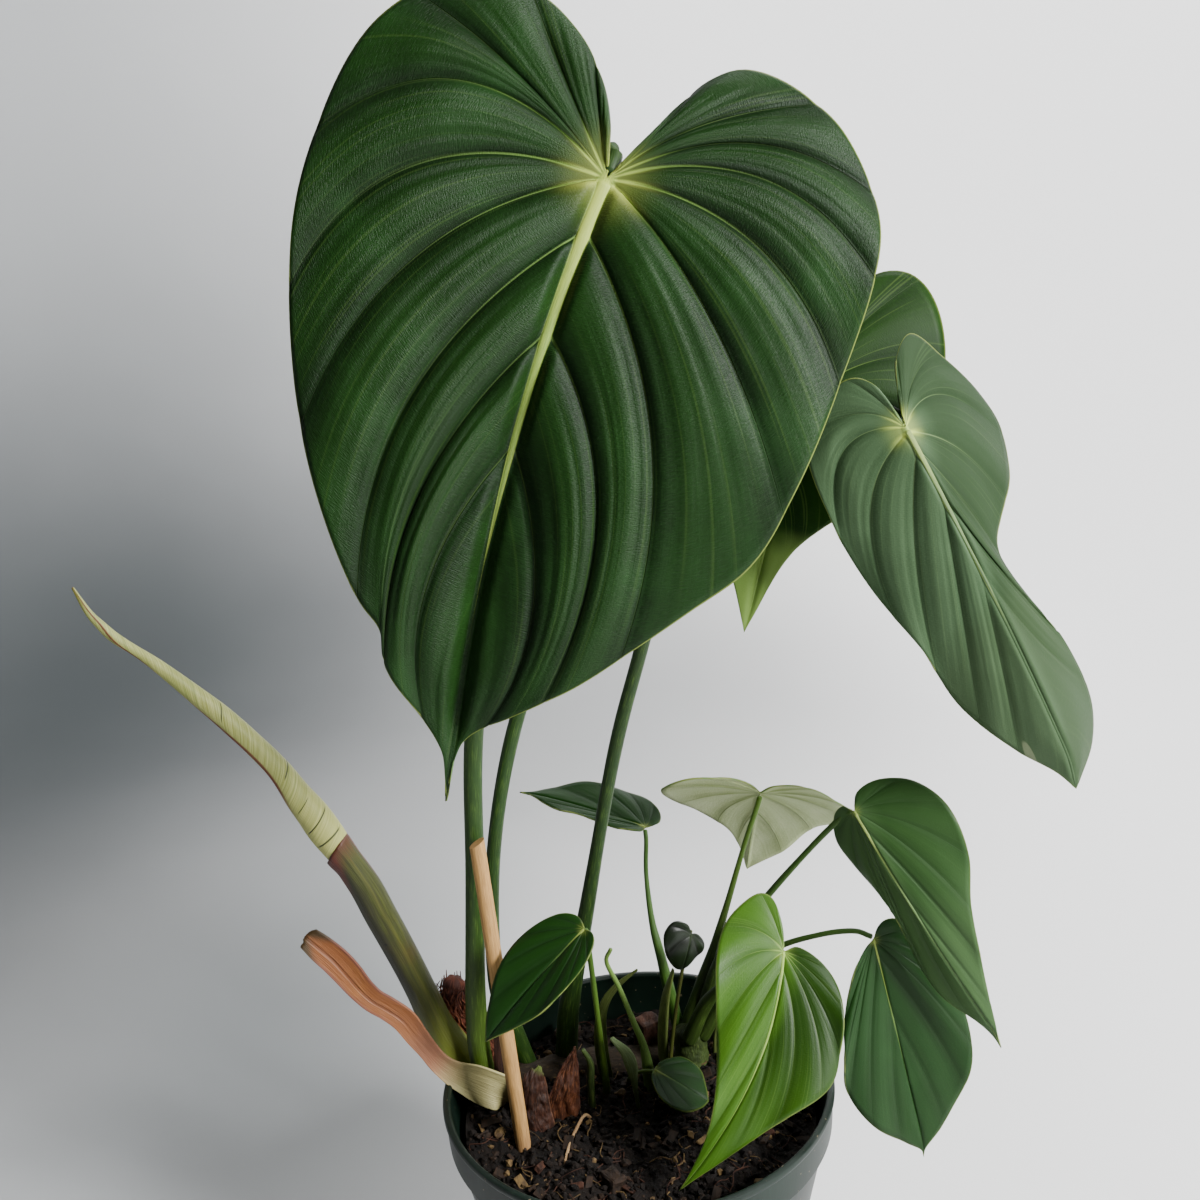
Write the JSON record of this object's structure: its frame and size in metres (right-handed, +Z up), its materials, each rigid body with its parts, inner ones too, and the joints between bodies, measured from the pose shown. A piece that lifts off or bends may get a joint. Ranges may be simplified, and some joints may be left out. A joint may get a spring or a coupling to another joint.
{
  "type": "potted philodendron",
  "caption": "Creeping philodendron in a round nursery pot: large pleated heart-shaped leaves on long stalks, a rolled new leaf on a sheath, young leaves at the foot, soil and a wooden stake.",
  "frame": {"origin": "centre of the pot's flat bottom", "axes": "+Z up along the pot's axis, -Y toward the side that the big leaves face, +X to the right seen from that side"},
  "size_m": [0.3669, 0.172, 0.5287],
  "materials": {
    "bract": "satin",
    "dark_sheath_strip": "satin",
    "dried_scale": "satin",
    "dried_scale_triangular": "satin",
    "green_stub": "satin",
    "leaf_A_blade": "satin",
    "leaf_A_stalk": "satin",
    "leaf_B_blade": "satin",
    "leaf_B_stalk": "satin",
    "leaf_C_blade": "satin",
    "leaf_C_stalk": "satin",
    "leaf_D_blade": "satin",
    "leaf_D_stalk": "satin",
    "leaf_E_blade": "satin",
    "leaf_E_stalk": "satin",
    "leaf_F_blade": "satin",
    "leaf_F_stalk": "satin",
    "leaf_G_blade": "satin",
    "leaf_G_stalk": "satin",
    "leaf_H_blade": "satin",
    "leaf_H_stalk": "satin",
    "leaf_I_blade": "satin",
    "leaf_I_stalk": "satin",
    "leaf_J_blade": "satin",
    "leaf_J_stalk": "satin",
    "leaf_K_blade": "satin",
    "leaf_K_stalk": "satin",
    "new_leaf_rolled": "satin",
    "new_leaf_sheath": "satin",
    "olive_sheath_left": "satin",
    "olive_sheath_right": "satin",
    "pale_scale": "satin",
    "pale_seedling": "satin",
    "pot": "satin",
    "rhizome": "satin",
    "root_thread": "satin",
    "soil": "rough",
    "stake": "rough",
    "stem_stub": "satin",
    "thin_shoot": "satin",
    "young_stem": "satin"
  },
  "bodies": {
    "root": {"bract": "bract", "dark_sheath_strip": "dark_sheath_strip", "dried_scale": "dried_scale", "dried_scale_triangular": "dried_scale_triangular", "green_stub": "green_stub", "leaf_A_blade": "leaf_A_blade", "leaf_A_stalk": "leaf_A_stalk", "leaf_B_blade": "leaf_B_blade", "leaf_B_stalk": "leaf_B_stalk", "leaf_C_blade": "leaf_C_blade", "leaf_C_stalk": "leaf_C_stalk", "leaf_D_blade": "leaf_D_blade", "leaf_D_stalk": "leaf_D_stalk", "leaf_E_blade": "leaf_E_blade", "leaf_E_stalk": "leaf_E_stalk", "leaf_F_blade": "leaf_F_blade", "leaf_F_stalk": "leaf_F_stalk", "leaf_G_blade": "leaf_G_blade", "leaf_G_stalk": "leaf_G_stalk", "leaf_H_blade": "leaf_H_blade", "leaf_H_stalk": "leaf_H_stalk", "leaf_I_blade": "leaf_I_blade", "leaf_I_stalk": "leaf_I_stalk", "leaf_J_blade": "leaf_J_blade", "leaf_J_stalk": "leaf_J_stalk", "leaf_K_blade": "leaf_K_blade", "leaf_K_stalk": "leaf_K_stalk", "new_leaf_rolled": "new_leaf_rolled", "new_leaf_sheath": "new_leaf_sheath", "olive_sheath_left": "olive_sheath_left", "olive_sheath_right": "olive_sheath_right", "pale_scale": "pale_scale", "pale_seedling": "pale_seedling", "pot": "pot", "rhizome": "rhizome", "root_thread": "root_thread", "soil": "soil", "stake": "stake", "stem_stub": "stem_stub", "thin_shoot": "thin_shoot", "young_stem": "young_stem"}
  },
  "joints": []
}
